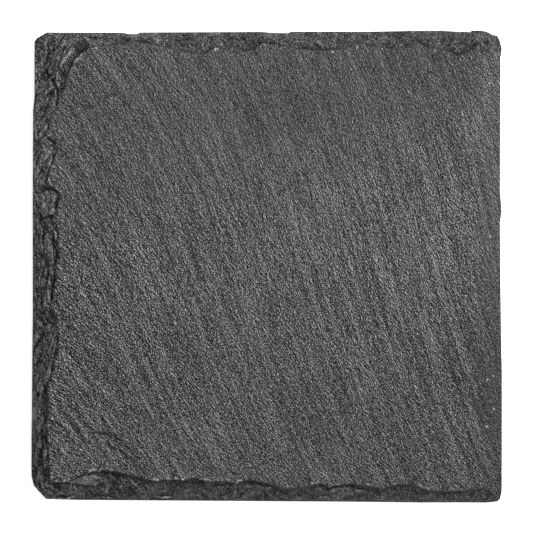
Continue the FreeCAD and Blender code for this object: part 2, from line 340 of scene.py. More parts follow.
# Plates between the cracks: tone, as above; corners. A later plate lies over an earlier one
PLATES = [
    (1.5, [(-43.9, 41.5), (-43.4, 42), (-42.4, 43.6), (-41.2, 45.2), (-40.6, 46.2), (-41.1, 46.2),
        (-42.2, 44.9), (-43.5, 43.1)]),
    (0.5, [(-43.7, 45.8), (-43.2, 44.6), (-42.2, 45.6), (-41.2, 46.8), (-40.7, 48), (-41.4, 48.4),
        (-43.2, 47.6)]),
    (1.3, [(-44.4, 40.9), (-44, 41.2), (-43.7, 40.2), (-43.3, 39.2), (-43.9, 37.6), (-44.4, 38.4)]),
    (1.1, [(-44.5, 43.7), (-44.1, 43.8), (-43.8, 45.2), (-44.1, 45.3)]),
    (-0.6, [(-43.7, 41.3), (-43.4, 40), (-43, 38.8), (-42.1, 38.9), (-41.9, 40.8), (-41.2, 42.2),
        (-39.6, 44.4), (-37.6, 45.9), (-37.4, 47), (-39.6, 47.4), (-40.3, 47.2), (-40.4, 45.9),
        (-41.8, 43.7), (-43, 42.2)]),
    (-0.9, [(-43.9, 43.2), (-43.3, 43.8), (-41.2, 46.2), (-40.9, 46.8), (-41.4, 46.7), (-43, 44.7)]),
    (-0.6, [(-44.8, 46.4), (-44.3, 45.6), (-44.6, 43.6), (-44.3, 42.2), (-44.5, 38.6), (-45.2, 38.9),
        (-45.2, 40.6), (-45.9, 41.8), (-45.2, 45.2)]),
    (0.25, [(-48.9, 37.6), (-48.6, 40), (-46.9, 40.4), (-45.8, 38.8), (-44.7, 37.8), (-44.6, 35.6),
        (-46.2, 32), (-47.2, 29.2), (-48.9, 28.6)]),
    (-0.9, [(-44.3, 35), (-45.2, 32.4), (-46.2, 30), (-46.9, 28.2), (-47.8, 27.2), (-48.1, 24.8),
        (-47.5, 24.6), (-46.9, 27), (-45.8, 28.6), (-45.6, 30.4)]),
    (0.5, [(-47.6, 26.8), (-46.9, 27.3), (-45.6, 28), (-45, 26.5), (-45.4, 22), (-46.2, 20.5),
        (-47.2, 17.5), (-48.6, 17), (-49, 18.5), (-48.4, 21.5), (-47.5, 23)]),
    (-0.9, [(-45, 23.6), (-44.7, 23), (-45.5, 20.6), (-46.3, 18.2), (-46.6, 17.4), (-47.4, 16.8),
        (-46.9, 18.4), (-46, 20.8)]),
    (-1.6, [(-47.2, 16.6), (-46.4, 17.2), (-44.2, 16.1), (-43.7, 15.3), (-44.2, 15.3), (-44.9, 15.9),
        (-46.4, 16.1)]),
    (0.55, [(-49, 15.2), (-47.5, 15.9), (-45, 15.8), (-44.1, 15), (-44.2, 13.9), (-44.8, 13.2),
        (-44.9, 11), (-46, 10.7), (-47.6, 10.8), (-48, 12.6), (-48.9, 14)]),
    (-0.5, [(-49.4, 14.4), (-48.5, 13.4), (-48.1, 12.2), (-47.9, 10.2), (-47.7, 6.4), (-48.1, 4.6),
        (-49.4, 3.4)]),
    (-0.5, [(-47.2, 9.8), (-45.2, 9.8), (-44.9, 8.4), (-45.4, 7.2), (-47.2, 6.4)]),
    (0.6, [(-47.3, 5.4), (-45.6, 6.6), (-45.2, 5.4), (-45, 3.6), (-45.2, 2.4), (-46.8, 3),
        (-47.4, 4.2)]),
    (0.8, [(-45, 7), (-44.4, 7.2), (-44.3, 7.8), (-44.7, 8.1)]),
    (0.8, [(-44.8, 5.2), (-44.4, 5.4), (-44.3, 6.8), (-44.7, 6.8)]),
    (-0.9, [(-49, 3.2), (-46.9, 3.2), (-45.9, 2.3), (-45.8, -0.8), (-46.2, -3.2), (-46.5, -3.2),
        (-46.4, -0.6), (-46.8, 1), (-47.8, 2), (-49, 2.6)]),
    (0.4, [(-45.7, 2.2), (-44.6, 2), (-44.7, 0.4), (-45.1, -1.2), (-45.2, -3), (-45.4, -5.2),
        (-45.8, -7), (-46.6, -8.8), (-47.2, -9.7), (-47, -7.6), (-46.4, -5.4), (-46.3, -3.6),
        (-45.9, -1.8)]),
    (0.4, [(-49.2, 2.4), (-48.4, 1.8), (-47.2, 0.6), (-46.7, -1.2), (-46.6, -4), (-47.4, -3),
        (-48, -1)]),
    (-0.7, [(-49.3, 0.4), (-48.7, 0.2), (-48.2, -1.2), (-48.4, -3), (-49.3, -2.8)]),
    (-0.9, [(-47.8, -4.2), (-46.9, -4.4), (-46.9, -6.6), (-47.3, -8.6), (-47.9, -7.6)]),
    (-0.8, [(-45.6, -8.6), (-44.8, -9.6), (-44.8, -12.2), (-46, -12.4), (-46.5, -11.4),
        (-46.3, -10)]),
    (0.5, [(-48.8, -11.2), (-47.8, -11.4), (-47.2, -13.2), (-47.9, -13.4), (-48.6, -12.8)]),
    (0.45, [(-46, -15.4), (-44.4, -15.8), (-44.6, -17.4), (-45.2, -19.8), (-45.7, -22.4),
        (-46.2, -24.2), (-47, -25), (-46.8, -22.6), (-47.2, -21), (-46.8, -18.6), (-46.6, -17)]),
    (-0.5, [(-47.2, -15), (-46.8, -16.6), (-47.1, -19.4), (-47.5, -21.4), (-47.2, -24.6),
        (-47.8, -26), (-47.8, -20)]),
    (-0.7, [(-46.2, -24.6), (-45.9, -26.4), (-46.1, -31.2), (-47, -31.6), (-47.6, -29.4),
        (-47.7, -27.2)]),
    (0.4, [(-49.3, -27.2), (-47.9, -27.6), (-47.6, -30.2), (-46.6, -32.2), (-46.2, -34.6), (-47.2, -36.8),
        (-48, -34.8), (-49, -32.2)]),
    (-0.8, [(-49.5, -31.8), (-48.9, -33), (-48.2, -36.8), (-49.5, -37)]),
    (-0.3, [(-45, -46.2), (-41, -46.2), (-38.8, -46.6), (-37.4, -48.4), (-38.6, -49.2),
        (-45.6, -48.8)]),
    (1.2, [(-41.2, -45.4), (-38.6, -44.4), (-36.4, -44), (-35, -44.4), (-34.4, -45.4), (-36.2, -46.6),
        (-38, -46.2), (-39.6, -45.8)]),
    (-0.4, [(-33, -43.8), (-31, -44), (-29.4, -44.9), (-30.4, -45.4), (-32.4, -45)]),
    (-0.5, [(-31.2, -47.2), (-28.6, -46.6), (-27.4, -47.6), (-28.6, -48.8), (-31.6, -48.6)]),
    (0.6, [(-28.4, -47.2), (-26.8, -46.8), (-26.2, -47.6), (-27.2, -48.3)]),
    (-0.7, [(-25.2, -49.5), (-23.6, -48.9), (-22.2, -49.4)]),
    (-0.6, [(-18, -45.2), (-14.6, -44.8), (-13.2, -45.6), (-12, -45.9), (-14, -46.4),
        (-17, -45.9)]),
    (-0.6, [(-12.6, -45.9), (-9, -45.8), (-7, -45.8), (-8, -46.4), (-11, -46.5)]),
    (-0.4, [(-4.8, -45.4), (-2, -45.5), (-0.4, -46.2), (-2.4, -46.5), (-4.8, -46.1)]),
    (0.4, [(-5.2, -48.6), (-3, -47.2), (-1.2, -47.6), (-2.4, -48.6), (-4.6, -49.2)]),
    (0.6, [(10.6, -49.3), (11.4, -48.6), (12.8, -48.4), (13.4, -49)]),
    (0.35, [(13, -47.6), (15, -46.8), (18, -46.7), (20, -47.6), (17, -48.6), (14, -48.9)]),
    (-0.4, [(-33, 47.8), (-28, 46.6), (-25.6, 46), (-24.6, 46.6), (-27, 47.8), (-30, 48.6)]),
    (0.35, [(-24.4, 46.4), (-22, 46.6), (-20, 48), (-22, 48.6), (-24.4, 47.6)]),
    (-0.4, [(-12, 48.6), (-6, 47.8), (-2, 48.6), (-6, 49.2)]),
]

# Bruised specks: x, y, radius
FLECKS = [
    (47, -8.8, 0.35), (47, -13.0, 0.3), (46.6, -24.0, 0.3), (47.9, -23.0, 0.3), (48, -30.0, 0.3),
    (46.5, -33.8, 0.35), (47.2, 38.7, 0.3), (47, 6.3, 0.3), (-45.3, -44.6, 0.35), (-47.4, -46.1, 0.3),
    (-45.1, -49.3, 0.3), (-43.8, -49.3, 0.25), (-41.7, -49.1, 0.3), (-23.8, -44.8, 0.3), (-20.4, -44.9, 0.3),
    (-17.4, -44.8, 0.3), (-14, -44.8, 0.3), (-45.2, -32.0, 0.35), (-45, 33.2, 0.25),
]


def nearby(x, y, points, reach):
    """Which places lie near the box round some points."""
    px, py = np.array(points).T
    near_x = (x > px.min() - reach) & (x < px.max() + reach)
    return near_x & (y > py.min() - reach) & (y < py.max() + reach)


def within(x, y, corners):
    """How far inside an outline each place lies, in mm; negative outside."""
    corners = np.array(corners)
    inside = np.zeros(x.shape, bool)
    for (ax, ay), (bx, by) in zip(corners, np.roll(corners, -1, axis=0)):
        crosses = (ay > y) != (by > y)
        inside ^= crosses & (x < ax + (y - ay) * (bx - ax) / np.where(by == ay, 1, by - ay))
    return distance_to(x, y, corners) * np.where(inside, 1, -1)


def frayed(x, y, coarse, size, fine, seed):
    """Places pushed about a little, so that the shapes measured at them fray."""
    x = x + coarse * noise(x / size, y / size, seed) + fine * noise(x / 0.5, y / 0.5, seed + 1)
    y = y + coarse * noise(x / size, y / size, seed + 2) + fine * noise(x / 0.5, y / 0.5, seed + 3)
    return x, y


def plates_and_seams(x, y):
    """How far inside a plate or seam each place lies, and the tone of that plate or seam."""
    x, y = frayed(x, y, coarse=0.16, size=1.1, fine=0.06, seed=81)
    inside, tone = np.full(x.shape, NOWHERE_NEAR), np.zeros(x.shape)
    shapes = [(value, points, 0.0) for value, points in PLATES]
    shapes += [(value, points, half_width) for value, half_width, points in SEAMS]
    for value, points, half_width in shapes:
        near = nearby(x, y, points, 1)
        nx, ny = x[near], y[near]
        if half_width:
            here = half_width - distance_to(nx, ny, np.array(points), closed=False)
        else:
            here = within(nx, ny, points)
        before = inside[near]
        taken = (here > 0) | ((before < 0) & (here > before))
        inside[near], tone[near] = np.where(taken, here, before), np.where(taken, value, tone[near])
    return inside, tone


# -------- the stone


class Outline:
    """The CAD stone's outline, wall top and perimeter, by direction from the middle."""

    def __init__(self, directions):
        tree = stone_tree()
        self.directions = directions
        self.reach = np.array([wall_reach(tree, d) for d in directions])
        tops = [wall_top(tree, d, r) for d, r in zip(directions, self.reach)]
        self.drop = FACE - np.array(tops)
        self.points = np.stack([np.cos(directions), np.sin(directions)], 1) * self.reach[:, None]
        steps = np.hypot(*(np.roll(self.points, -1, axis=0) - self.points).T)
        self.perimeter = np.concatenate([[0], np.cumsum(steps)[:-1]])
        self.whole_way = steps.sum()


def rim(array):
    """The values round the rim of a square grid, counter-clockwise from the front left corner."""
    return np.concatenate([array[0, :-1], array[:-1, -1], array[-1, :0:-1], array[:0:-1, 0]])


def square_reach(direction):
    return 1 / np.maximum(np.abs(np.cos(direction)), np.abs(np.sin(direction)))


def upper_grid():
    """The grid's points in plan, squeezed from a square on to the outline, and that outline."""
    lines = np.linspace(-1, 1, 2 * CELLS + 1)
    u, v = np.meshgrid(lines, lines)
    outline = Outline(np.sort(bearing(rim(u), rim(v))))
    squeeze = outline.reach / square_reach(outline.directions)
    towards_rim = smoothstep(0.72, 1.0, np.maximum(np.abs(u), np.abs(v)))
    scale = mix(HALF_SIDE, around(bearing(u, v), outline.directions, squeeze), towards_rim)
    return u * scale, v * scale, outline


def cusp_places(edge, outline):
    """Places along the perimeter of the cusps between flake scars, where the face's edge turns sharply."""
    before = edge - np.roll(edge, 1, axis=0)
    after = np.roll(edge, -1, axis=0) - edge
    turn = before[:, 0] * after[:, 1] - before[:, 1] * after[:, 0]
    turn = turn / (np.hypot(*before.T) * np.hypot(*after.T))
    sharp = edge[turn > 0.2]
    return np.sort(around(bearing(*sharp.T), outline.directions, outline.perimeter))


def across_scar(along, share, cusps, whole_way):
    """Where each point lies across its flake scar, 0 to 1, and the scar's width."""
    lean = 2.6 * noise(along / 11, 0.3, 24)
    place = along + lean * (1 - share) + 0.35 * noise(along / 1.7, share * 4, 25)
    stops = np.concatenate([[cusps[-1] - whole_way], cusps, [cusps[0] + whole_way, cusps[1] + whole_way]])
    after = np.clip(np.searchsorted(stops, place), 1, len(stops) - 1)
    width = stops[after] - stops[after - 1]
    return np.clip((place - stops[after - 1]) / width, 0, 1), width


def knapped_band(x, y, outline):
    """Depth below the face, distance inside the face's edge, how knapped the side is, the level of a flake
    on the left, and distances inside a gap between flakes, from where a blow fell, and inside a bruise."""
    direction = bearing(x, y)
    edge = face_edge()
    edge_reach = around(direction, bearing(*edge.T), np.hypot(*edge.T))
    ragged = 0.13 * noise(x / 1.3, y / 1.3, 26) + 0.07 * noise(x / 0.5, y / 0.5, 27)
    on_face = np.hypot(x, y) < edge_reach + ragged
    near = np.hypot(x, y) > edge_reach - 4
    from_edge = np.full(x.shape, 4.0)
    from_edge[near] = np.abs(distance_to(x[near], y[near], edge) + (ragged * np.where(on_face, 1, -1))[near])
    from_wall = np.full(x.shape, 20.0)
    from_wall[near] = distance_to(x[near], y[near], outline.points[::3])

    share = np.where(on_face, 1, from_wall / (from_wall + from_edge + 1e-9))
    drop = around(direction, outline.directions, outline.drop)
    along = around(direction, outline.directions, outline.perimeter)
    knapped = smoothstep(*KNAPPED_DROP, drop)
    left = smoothstep(0.73, 0.9, -x / HALF_SIDE) * knapped

    # A sheer break under the face's edge, then a slope down to the wall.
    sheer = mix(0.8, 0.35, left) + mix(0.5, 0.3, left) * noise(along / 5, 0.5, 11)
    sheer = (sheer + 0.3 * noise(along / 1.7, 0.5, 12)) * knapped * smoothstep(0.0, 1.6, from_wall)
    slope = 1.15 + 0.4 * noise(along / 9, 0.5, 13)
    depth = sheer * smoothstep(0.0, 0.42, from_edge) + (drop - sheer) * (1 - share) ** slope
    depth = np.where(on_face, 0, depth)

    # Neighbouring scars meet in a ridge that leans across the band.
    taper = np.sqrt(np.clip(4 * share * (1 - share), 0, 1))
    tau, width = across_scar(along, share, cusp_places(edge, outline), outline.whole_way)
    dish = 1 - np.abs(2 * tau - 1) ** 1.7
    depth = depth + knapped * taper * (dish - 0.6) * np.clip(width / 9, 0.35, 1.1) * mix(0.8, 0.4, left)

    # Smaller scoops, with ripples spreading from where each blow fell, and flakes drawn out along the edge.
    slant = along + 1.4 * from_edge * np.sign(noise(along / 23, 0.5, 14))
    lift = 0.75 * scoops(slant / 3.4, from_edge / 1.5 + 0.5 * noise(along / 4, 0.5, 15), 16)
    lift = lift + mix(0.15, 0.3, left) * scoops(slant / 1.5, from_edge / 0.8, 17)
    from_blow = np.hypot((tau - 0.5) * width * 0.8, from_edge + 0.6) + 0.7 * noise(x / 2.4, y / 2.4, 21)
    lift = lift + 0.06 * np.sin(from_blow / RIPPLE * math.tau) * smoothstep(0.5, 1.2, from_edge) * (1 - left)
    warp = 0.3 * noise(x / 1.2, y / 1.2, 18)
    level, rim_in = chips(slant / 3.6 + warp, from_edge / 1.15 + warp, 19)
    # In the back left corner the flakes are narrow strips that lean towards the back right.
    in_corner = np.hypot(x + 49, y - 49) < 10
    strip_level, strip_rim = chips((0.47 * x + 0.88 * y) / 6 + warp, (0.88 * x - 0.47 * y) / 0.9 + warp, 28)
    level, rim_in = np.where(in_corner, strip_level, level), np.where(in_corner, strip_rim, rim_in)
    small, _ = chips(x / 0.8, y / 0.8, 20)
    lift = lift + mix(0.15, 0.8, left) * (level - 0.5) + mix(0.05, 0.3, left) * (small - 0.5)
    depth = depth - knapped * taper * (lift - 0.5)
    gap = 0.12 + 0.18 * noise(along / 3.1, from_edge / 1.5, 23) - 1.3 * rim_in
    gap = np.where(on_face, -1, gap * mix(0.4, 1, left) - mix(0.3, 0, left))

    # Bright bruises along the face's edge, most of them at the front
    signed = np.where(on_face, from_edge, -from_edge)
    front = smoothstep(0.7, 0.9, -y / HALF_SIDE)
    bruise = 0.9 * noise(along / 0.75, 0.5, 29) + 0.4 * noise(along / 4.5, 0.5, 30) - mix(0.45, 0.18, front)
    bruise = np.minimum(bruise, 0.4) - np.abs(signed - 0.15)
    depth = np.clip(depth, 0, drop + 0.8)
    return depth, signed, knapped, level * left * (1 - on_face), gap, from_blow, bruise


def cleft_relief(x, y):
    """How far the cleft face lies below its highest ridges."""
    along, across = sweep(x, y)
    bend = 0.9 * noise(x / 17, y / 17, 31)
    streaks = 0.028 * fractal(along / 8, (across + bend) / 1.9, 32, 2, 0.6)
    ridges = 0.03 * noise(along / 18, (across + bend) / 3.1, 33)
    swell = 0.10 * fractal(x / 24, y / 24, 35, 2)
    return 0.16 - streaks - ridges - swell


def beside(x, y, points):
    """How far each place is from a line of points, and how far right of its run, or left if negative."""
    line = np.array(points)
    middle, run = line.mean(0), line[-1] - line[0]
    side = ((x - middle[0]) * run[1] - (y - middle[1]) * run[0]) / np.hypot(*run)
    return distance_to(x, y, line, closed=False), side


def riffles(x, y):
    """Depth of the low steps in the cleft face."""
    depth = np.zeros(x.shape)
    for drop, points in RIFFLES:
        away, side = beside(x, y, points)
        depth += drop * np.where(side < 0, 1, 0.15) * np.exp(-((away / 0.8) ** 2))
    return depth


def riffle_shading(x, y):
    """Darker just below the low steps, and lighter above them: -1 to 1."""
    shift = np.zeros(x.shape)
    for _, points in RIFFLES:
        away, side = beside(x, y, points)
        shift = shift - 1.0 * np.exp(-(((away - 0.2) / 0.4) ** 2)) * (side < 0.3)
        shift = shift + 0.35 * np.exp(-(((away - 0.9) / 0.7) ** 2)) * (side > 0)
    return np.clip(shift, -1, 1)


def nearness(x, y, lines):
    """How far inside the nearest of the lines each place lies, and the rise the lines give it."""
    x, y = frayed(x, y, coarse=0.20, size=1.4, fine=0.10, seed=46)
    inside, height = np.full(x.shape, NOWHERE_NEAR), np.zeros(x.shape)
    for half_width, rise, points in lines:
        near = nearby(x, y, points, 1)
        away = distance_to(x[near], y[near], np.array(points), closed=False)
        inside[near] = np.maximum(inside[near], half_width - away)
        height[near] = np.maximum(height[near], rise * np.exp(-((away / (1.2 * half_width)) ** 2)))
    return inside, height


def convexity(z):
    """How far each grid point stands above the mean of those around it."""
    padded = np.pad(z, 1, mode="edge")
    near = sum(padded[i : i + z.shape[0], j : j + z.shape[1]] for i in range(3) for j in range(3))
    return z - near / 9


def shading(x, y, band, covered, near_rim):
    """How much darker or lighter each place is than its texture alone would make it, about -1 to 1."""
    broken, knapped, on_left, level = band
    in_front = smoothstep(12, -35, y)
    flakes = 0.7 * (level - 0.5) * broken * smoothstep(0.02, 0.1, level) * (1 - covered)
    right_side = 0.35 * near_rim * (1 - knapped)
    back_band = -0.25 * broken * smoothstep(0.85, 0.95, y / HALF_SIDE)
    # Painted light and shade over the cleft face: paler towards the back, darker towards the front.
    back_of_face = 0.18 * smoothstep(0, 25, y) * (1 + 0.9 * smoothstep(5, -15, x))
    front_of_face = -(0.57 + 0.22 * smoothstep(-10, 30, x)) * in_front * (1 - 0.4 * broken)
    other_bands = -0.6 * broken * (1 - on_left) * mix(0.45, 1, smoothstep(15, -15, y))
    left_band = 0.65 * broken * on_left
    on_face = riffle_shading(x, y) + back_of_face + front_of_face
    return flakes + right_side + back_band + on_face + other_bands + left_band


def upper_surface(x, y, outline):
    """Heights over the plan grid, and the values that the slate's colour follows."""
    depth, signed, knapped, level, gap, from_blow, bruise = knapped_band(x, y, outline)
    in_band = 1 - smoothstep(-0.12, 0.12, signed)
    broken = in_band * knapped
    on_left = smoothstep(0.75, 0.9, -x / HALF_SIDE)

    # Plates and seams in the broken band
    inside, plate_tone = plates_and_seams(x, y)
    inside = np.where(broken > 0.5, inside, NOWHERE_NEAR)
    covered = smoothstep(-0.06, 0.06, inside) * broken
    plate = plate_tone * covered
    smooth = smoothstep(-0.2, -0.8, plate)
    rough = 0.05 * (1 - 0.7 * smooth) * fractal(x / 1.1, y / 1.1, 41, 3, 0.6)
    depth = depth + broken * (mix(0.3, 0.1, on_left) + rough) - plate * np.where(plate > 0, 0.3, 0.2)
    depth = depth + mix(cleft_relief(x, y), 0.12, in_band * mix(0.6, 0.9, knapped))

    # Cracks, gaps between flakes, low steps, and bruised crests and specks
    gap = np.where(smooth > 0.3, NOWHERE_NEAR, gap)
    crack, crack_depth = nearness(x, y, CRACKS)
    crack = np.maximum(crack + 0.10 * noise(x / 1.1, y / 1.1, 50), gap)
    crest, crest_rise = nearness(x, y, CRESTS)
    depth = depth + 0.4 * smoothstep(-0.1, 0.15, gap) + crack_depth + riffles(x, y) - crest_rise
    depth = np.clip(depth, 0, FACE - WALL_HEIGHT)
    fleck = np.full(x.shape, NOWHERE_NEAR)
    for fx, fy, radius in FLECKS:
        fleck = np.maximum(fleck, radius - np.hypot(x - fx, y - fy))
    fleck = np.where(knapped > 0.5, np.maximum(fleck, bruise), fleck)

    # Where the stone is worn: unbroken borders, a strip along the right side, and towards the back left
    near_rim = smoothstep(HALF_SIDE - 9, HALF_SIDE - 2, x)
    near_rim = near_rim * smoothstep(-0.6, -0.2, -np.abs(y) / HALF_SIDE + 0.4)
    worn = np.maximum(in_band, 1.5 * near_rim) * (1 - knapped)
    towards_back = smoothstep(-0.1, 0.7, (y - 0.25 * x) / HALF_SIDE)
    worn = worn + 1.3 * towards_back * (1 - broken) * np.clip(1 - worn, 0, 1)

    # Painted shade in the hollows of the broken band, and paler ridges, partly bruising and partly painted
    # highlight.
    bulge = convexity(-depth) * broken
    ridge, hollow = smoothstep(0.02, 0.14, bulge), smoothstep(0.02, 0.14, -bulge)
    shift = shading(x, y, (broken, knapped, on_left, level), covered, near_rim)
    marks_and_shade = {
        "edges": (signed, knapped, crack),
        "marks_and_shade": (np.maximum(crest + 0.05, fleck), ridge, hollow),
        # The worn places, then painted light and shade from shading()
        "wear_and_shade": (worn, shift, np.zeros(x.shape)),
        "plates": (inside, plate_tone * np.where(plate_tone > 0, 1.5, 1.0), from_blow),
    }
    return FACE - depth, {name: np.stack(values, -1) for name, values in marks_and_shade.items()}


def wall_loops(x, y, z, outline):
    """Loops of points down the wall from the rim of the upper surface to the foot."""
    rim_x, rim_y, rim_z = rim(x), rim(y), rim(z)
    reach = np.hypot(rim_x, rim_y)
    along = around(bearing(rim_x, rim_y), outline.directions, outline.perimeter)
    rim_x, rim_y, rim_z, reach, along = (array[::2] for array in (rim_x, rim_y, rim_z, reach, along))
    loops = []
    for level in range(1, WALL_LEVELS + 1):
        share = level / WALL_LEVELS
        height = mix(rim_z, UNDERSIDE + TOE_RISE, share)
        splintered = 0.16 * noise(along / 5, height / 0.45, 51) + 0.07 * noise(along / 1.1, height / 0.3, 52)
        pushed = reach - np.abs(splintered) * math.sin(math.pi * min(share + 0.25, 1)) - 0.02
        loops.append((pushed / reach * rim_x, pushed / reach * rim_y, height))
    foot = reach - TOE_INSET - 0.1 * noise(along / 2.5, 0.5, 53)
    loops.append((foot / reach * rim_x, foot / reach * rim_y, np.full(reach.shape, UNDERSIDE)))
    return loops


def under_surface(x, y):
    """Every fourth line of the grid, drawn in a little, and its height, flat where the pads stick."""
    shrink = 1 - 1.2 / HALF_SIDE
    ux, uy = x[::4, ::4] * shrink, y[::4, ::4] * shrink
    hollow = 0.10 + 0.10 * fractal(ux / 11, uy / 3.5, 61) + 0.05 * noise(ux / 1.6, uy / 1.6, 62)
    for place in PLACES:
        low, high = (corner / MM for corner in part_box(f"adhesive_disc_{place}"))
        middle, radius = (low + high) / 2, (high.x - low.x) / 2
        hollow = hollow * smoothstep(radius + 0.3, radius + 3, np.hypot(ux - middle.x, uy - middle.y))
    return ux, uy, UNDERSIDE + np.clip(hollow, 0, None)


def square_faces(index):
    """Square faces over a grid, facing up, or down if the grid is transposed."""
    corners = (index[:-1, :-1], index[:-1, 1:], index[1:, 1:], index[1:, :-1])
    return np.stack(corners, -1).reshape(-1, 4).tolist()


def quartered_faces(index, fine):
    """Square faces over two grid steps, or four small ones where fine. Between the two kinds, the midpoints
    of the small faces' sides also belong to the large face, so that no gap opens."""
    padded = np.pad(fine, 1, constant_values=False)
    faces = []
    for row, column in np.ndindex(fine.shape):
        block = index[2 * row : 2 * row + 3, 2 * column : 2 * column + 3]
        if fine[row, column]:
            faces += square_faces(block)
            continue
        below, above = padded[row, column + 1], padded[row + 2, column + 1]
        left, right = padded[row + 1, column], padded[row + 1, column + 2]
        faces.append(rim(block)[[True, below, True, right, True, above, True, left]].tolist())
    return faces


def loop_faces(upper, lower):
    upper_next, lower_next = np.roll(upper, -1), np.roll(lower, -1)
    return np.stack([lower, lower_next, upper_next, upper], 1).tolist()


def halving_faces(fine, coarse):
    """Triangles between a loop and one with half as many points."""
    faces = []
    count = len(coarse)
    for i in range(count):
        a, b, c = fine[2 * i], fine[2 * i + 1], fine[(2 * i + 2) % len(fine)]
        d, e = coarse[i], coarse[(i + 1) % count]
        faces += [[d, b, a], [d, e, b], [e, c, b]]
    return faces


def make_mesh(name, points, faces):
    mesh = bpy.data.meshes.new(name)
    mesh.from_pydata((np.asarray(points) * MM).tolist(), [], [tuple(int(i) for i in f) for f in faces])
    mesh.validate()
    mesh.polygons.foreach_set("use_smooth", [True] * len(mesh.polygons))
    piece = bpy.data.objects.new(name, mesh)
    bpy.context.scene.collection.objects.link(piece)
    return piece


def quartered_cells(edges):
    """Which cells are quartered, from the distances and knapping at the grid's points."""
    signed, knapped, crack = np.moveaxis(edges, -1, 0)
    fine = (signed < QUARTERED_INSIDE) & (knapped > 0.05) | (crack > -QUARTERED_BESIDE)
    fine[:2], fine[-2:], fine[:, :2], fine[:, -2:] = True, True, True, True
    blocks = np.pad(fine, ((0, 1), (0, 1)), mode="edge").reshape(CELLS + 1, 2, CELLS + 1, 2)
    return blocks.any((1, 3))[:-1, :-1]


def riven_stone():
    x, y, outline = upper_grid()
    z, marks_and_shade = upper_surface(x, y, outline)
    count = x.size

    points = [np.stack([x, y, z], -1).reshape(-1, 3)]
    index = np.arange(count).reshape(x.shape)
    faces = quartered_faces(index, quartered_cells(marks_and_shade["edges"]))
    used = count

    above = rim(index)
    for number, loop in enumerate(wall_loops(x, y, z, outline)):
        points.append(np.stack(loop, -1))
        below = np.arange(used, used + len(loop[0]))
        faces += loop_faces(above, below) if number else halving_faces(above, below)
        used += len(below)
        above = below

    under_x, under_y, under_z = under_surface(x, y)
    points.append(np.stack([under_x, under_y, under_z], -1).reshape(-1, 3))
    under = np.arange(used, used + under_x.size).reshape(under_x.shape)
    faces += halving_faces(above, rim(under)) + square_faces(under.T)
    points = np.concatenate(points)

    # The wall and the underside lie outside the face's edge, and have no cracks, bruises or plates. The
    # underside is split rather than broken, so it counts as hardly knapped.
    beyond = {
        "edges": (3 * NOWHERE_NEAR, 1, NOWHERE_NEAR), "marks_and_shade": (NOWHERE_NEAR, 0, 0),
        "wear_and_shade": (0, 0, 0), "plates": (NOWHERE_NEAR, 0, 0),
    }
    vectors = {name: np.tile(np.asarray(values, float), (len(points), 1)) for name, values in beyond.items()}
    for name, values in marks_and_shade.items():
        vectors[name][:count] = values.reshape(-1, 3)
    vectors["edges"][used:, 1] = 0.25

    # The noises are cut on a slant, and only below the face does height count, so that no contours show.
    along, across = grain(points[:, 0], points[:, 1])
    below_face = np.minimum(points[:, 2] - FACE + 0.45, 0)
    vectors["grain"] = np.stack([along, across, below_face + 0.05 * along + 0.17 * across], 1)
    vectors["sweep"] = np.stack([*sweep(points[:, 0], points[:, 1]), below_face], 1)

    # Only the points that a face uses are kept.
    kept = np.unique(np.concatenate([np.asarray(face) for face in faces]))
    renumbered = np.zeros(len(points), np.int64)
    renumbered[kept] = np.arange(len(kept))
    piece = make_mesh("riven_slate", points[kept], [renumbered[list(face)] for face in faces])
    piece.data.set_sharp_from_angle(angle=math.radians(38))
    for name, values in vectors.items():
        attribute = piece.data.attributes.new(name, "FLOAT_VECTOR", "POINT")
        attribute.data.foreach_set("vector", values[kept].astype(np.float32).ravel())
    return piece


# -------- pads and film


def lathe(name, profile, middle, segments=96, ragged=0.0):
    """A closed turned shape from (radius, height) points, the first and last of them on the axis."""
    angles = np.arange(segments) / segments * math.tau
    swing = 1 + ragged * fractal(np.cos(angles) * 3 + middle[0], np.sin(angles) * 3 + middle[1], 71)
    points = [(middle[0], middle[1], profile[0][1])]
    for radius, height in profile[1:-1]:
        reach = radius * swing
        ring = zip(middle[0] + reach * np.cos(angles), middle[1] + reach * np.sin(angles))
        points += [(px, py, height) for px, py in ring]
    points.append((middle[0], middle[1], profile[-1][1]))
    faces = []
    rings = len(profile) - 2
    for j in range(segments):
        k = (j + 1) % segments
        faces.append((0, 1 + k, 1 + j))
        for r in range(rings - 1):
            low, high = 1 + r * segments, 1 + (r + 1) * segments
            faces.append((low + j, low + k, high + k, high + j))
        last = 1 + (rings - 1) * segments
        faces.append((last + j, last + k, len(points) - 1))
    return make_mesh(name, points, faces)


def pad_profile(low, high, radius):
    """From the middle of the underside, round the worn rim, up the slightly waisted side, to the top."""
    height = high - low
    rim_round, round_steps = 0.35, 6
    waist_depth, waist_from = 0.12, 0.23
    top_bevel = 0.06
    profile = [(radius * share, low) for share in (0, 0.3, 0.6, 0.8)]
    for step in range(round_steps + 1):
        turn = step / round_steps * math.pi / 2
        profile.append((radius - rim_round * (1 - math.sin(turn)), low + rim_round * (1 - math.cos(turn))))
    for share in (0.45, 0.65, 0.85):
        waist = waist_depth * math.sin(math.pi * (share - waist_from) / (1 - waist_from))
        profile.append((radius - waist, low + height * share))
    profile += [(radius, high - top_bevel), (radius - top_bevel, high)]
    return profile + [(radius * share, high) for share in (0.7, 0.3, 0)]


def film_profile(low, high, radius):
    edge_bevel = 0.03
    lower = [(0, low), (radius * 0.5, low), (radius - edge_bevel, low)]
    upper = [(radius - edge_bevel, high), (radius * 0.5, high), (0, high)]
    return lower + [(radius, (low + high) / 2)] + upper


def node_disc(node):
    low, high = (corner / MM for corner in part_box(node))
    return (low + high) / 2, low.z, high.z, (high.x - low.x) / 2


# -------- materials


